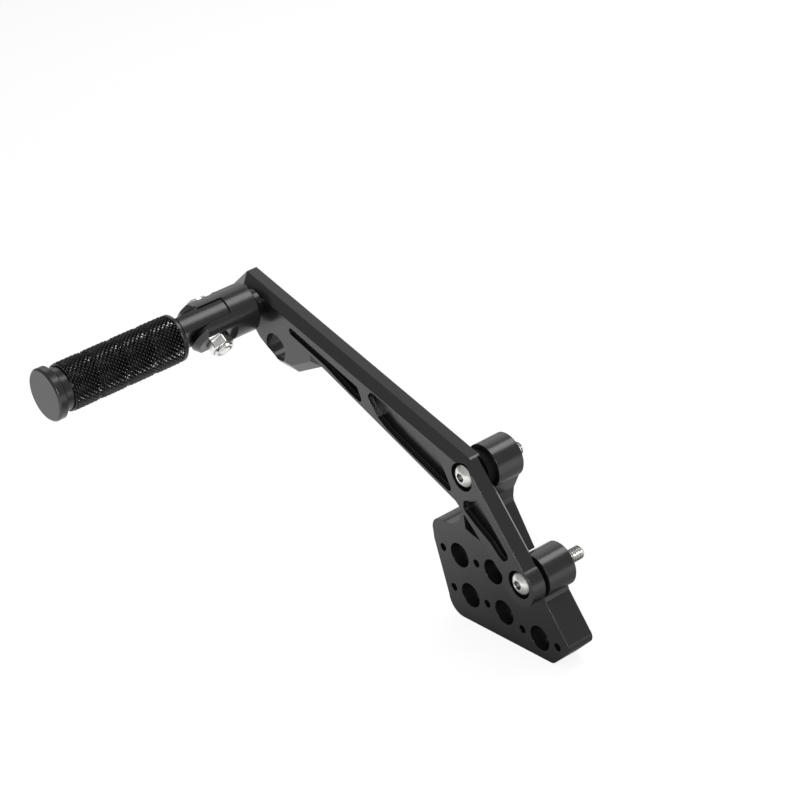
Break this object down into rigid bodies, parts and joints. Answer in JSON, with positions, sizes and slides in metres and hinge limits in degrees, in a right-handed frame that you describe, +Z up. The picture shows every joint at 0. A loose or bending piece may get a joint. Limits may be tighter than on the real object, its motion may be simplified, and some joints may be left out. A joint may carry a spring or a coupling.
{
  "type": "motorcycle footpeg",
  "caption": "Folding knurled footpeg in a round clevis, carried by a bevelled offset arm on a drilled, bossed base plate with threaded bolt ends.",
  "frame": {"origin": "the lower bolt's axis where its threaded end leaves the lower boss's back face", "axes": "+X from the peg towards the base plate, +Y inboard along the bolts, so the peg points to -Y, +Z up from the base plate's straight edge"},
  "size_m": [0.2626, 0.1902, 0.1805],
  "materials": {
    "black_anodised": "satin black anodised",
    "knurled_black": "knurled, satin black anodised",
    "black_spacer": "matt black anodised",
    "bright_steel": "bright",
    "plain_steel": "ground",
    "blue_nylon": "matt"
  },
  "bodies": {
    "mount": {"arm": "black_anodised", "base_plate": "black_anodised", "lower_bolt": "bright_steel", "upper_bolt": "bright_steel", "upper_spacer": "black_spacer", "knuckle": "black_anodised", "knuckle_bolt": "bright_steel", "knuckle_dowel": "plain_steel", "pivot_bolt": "bright_steel", "pivot_nut": "bright_steel", "nut_insert": "blue_nylon"},
    "peg": {"peg_core": "black_anodised", "grip": "knurled_black", "end_cap": "black_anodised"}
  },
  "joints": [
    {"name": "peg_fold", "type": "hinge", "parent": "mount", "child": "peg", "pos_m": [-0.2158, -0.0648, 0.1098], "axis": [0.7547, 0, -0.6561], "range_deg": [0, 90]}
  ]
}
